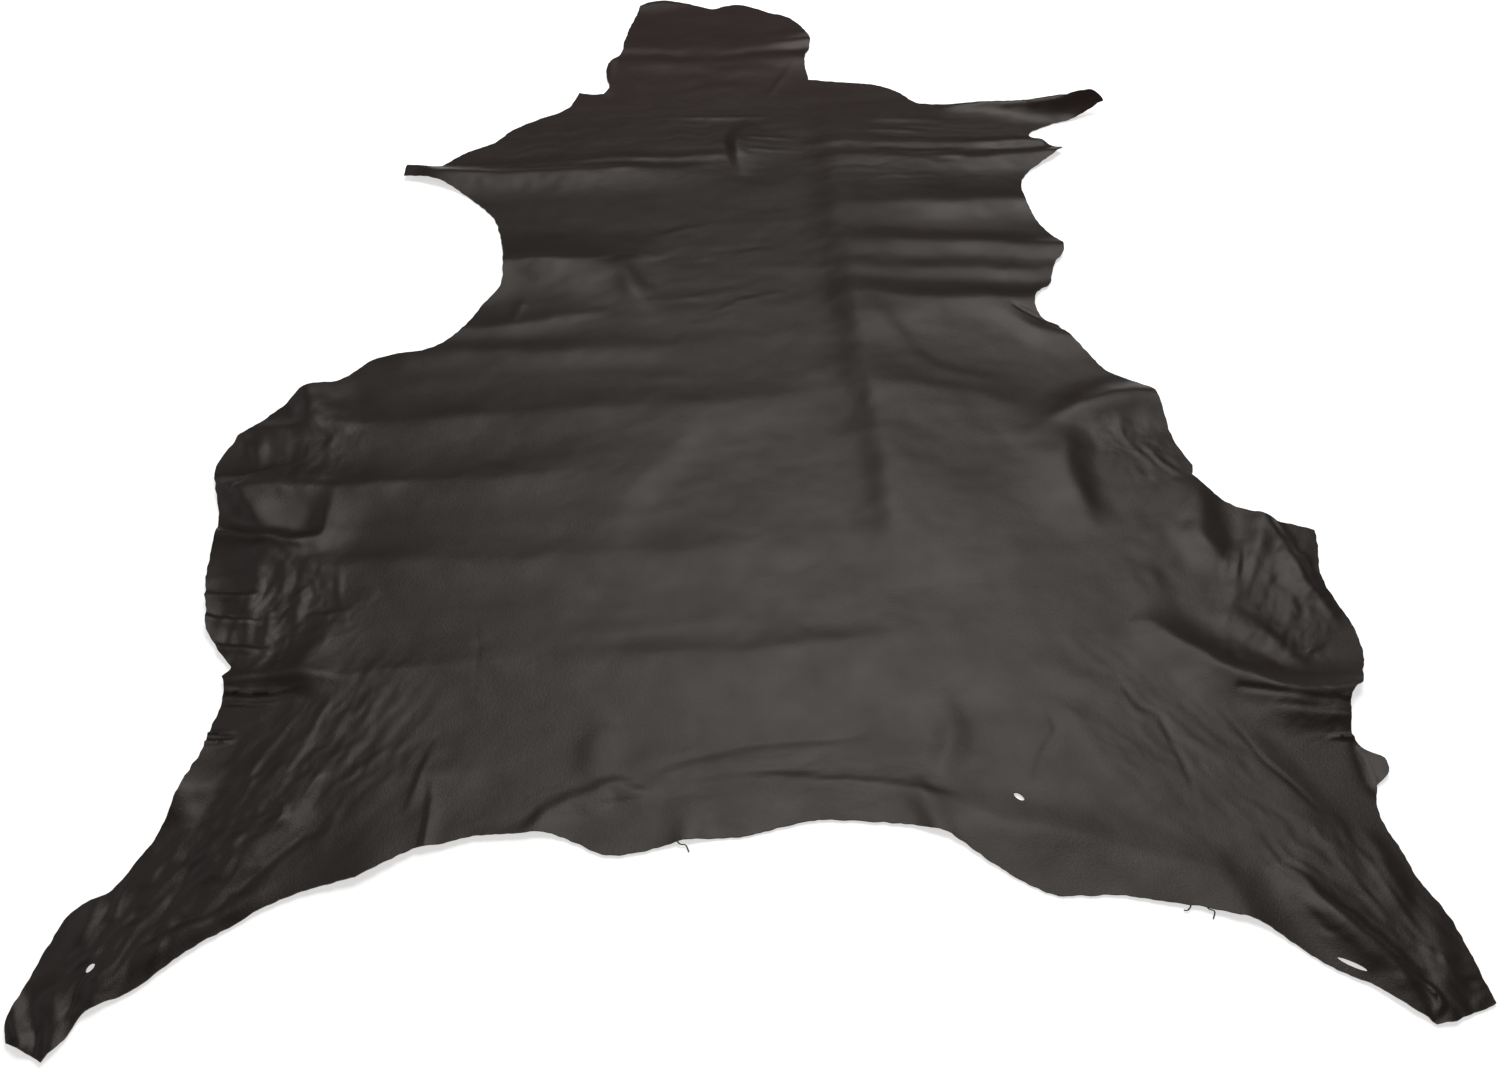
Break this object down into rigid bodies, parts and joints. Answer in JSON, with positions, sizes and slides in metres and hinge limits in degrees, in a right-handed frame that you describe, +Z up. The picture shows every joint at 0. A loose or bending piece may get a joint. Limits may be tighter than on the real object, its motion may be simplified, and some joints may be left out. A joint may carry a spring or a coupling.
{
  "type": "leather hide",
  "caption": "Whole dressed leather hide lying loose on the floor, with neck, four leg ends, soft ripples across the back and crumpled flanks.",
  "frame": {"origin": "on the floor, under the centre of the hide's bounding box", "axes": "+Y from the rump towards the neck, +X towards the right side seen from above with the neck away, +Z up from the floor"},
  "size_m": [0.9562, 1.295, 0.0225],
  "materials": {
    "leather": "dark espresso brown, smooth grain with a soft satin shine"
  },
  "bodies": {
    "root": {"hide": "leather"}
  },
  "joints": []
}
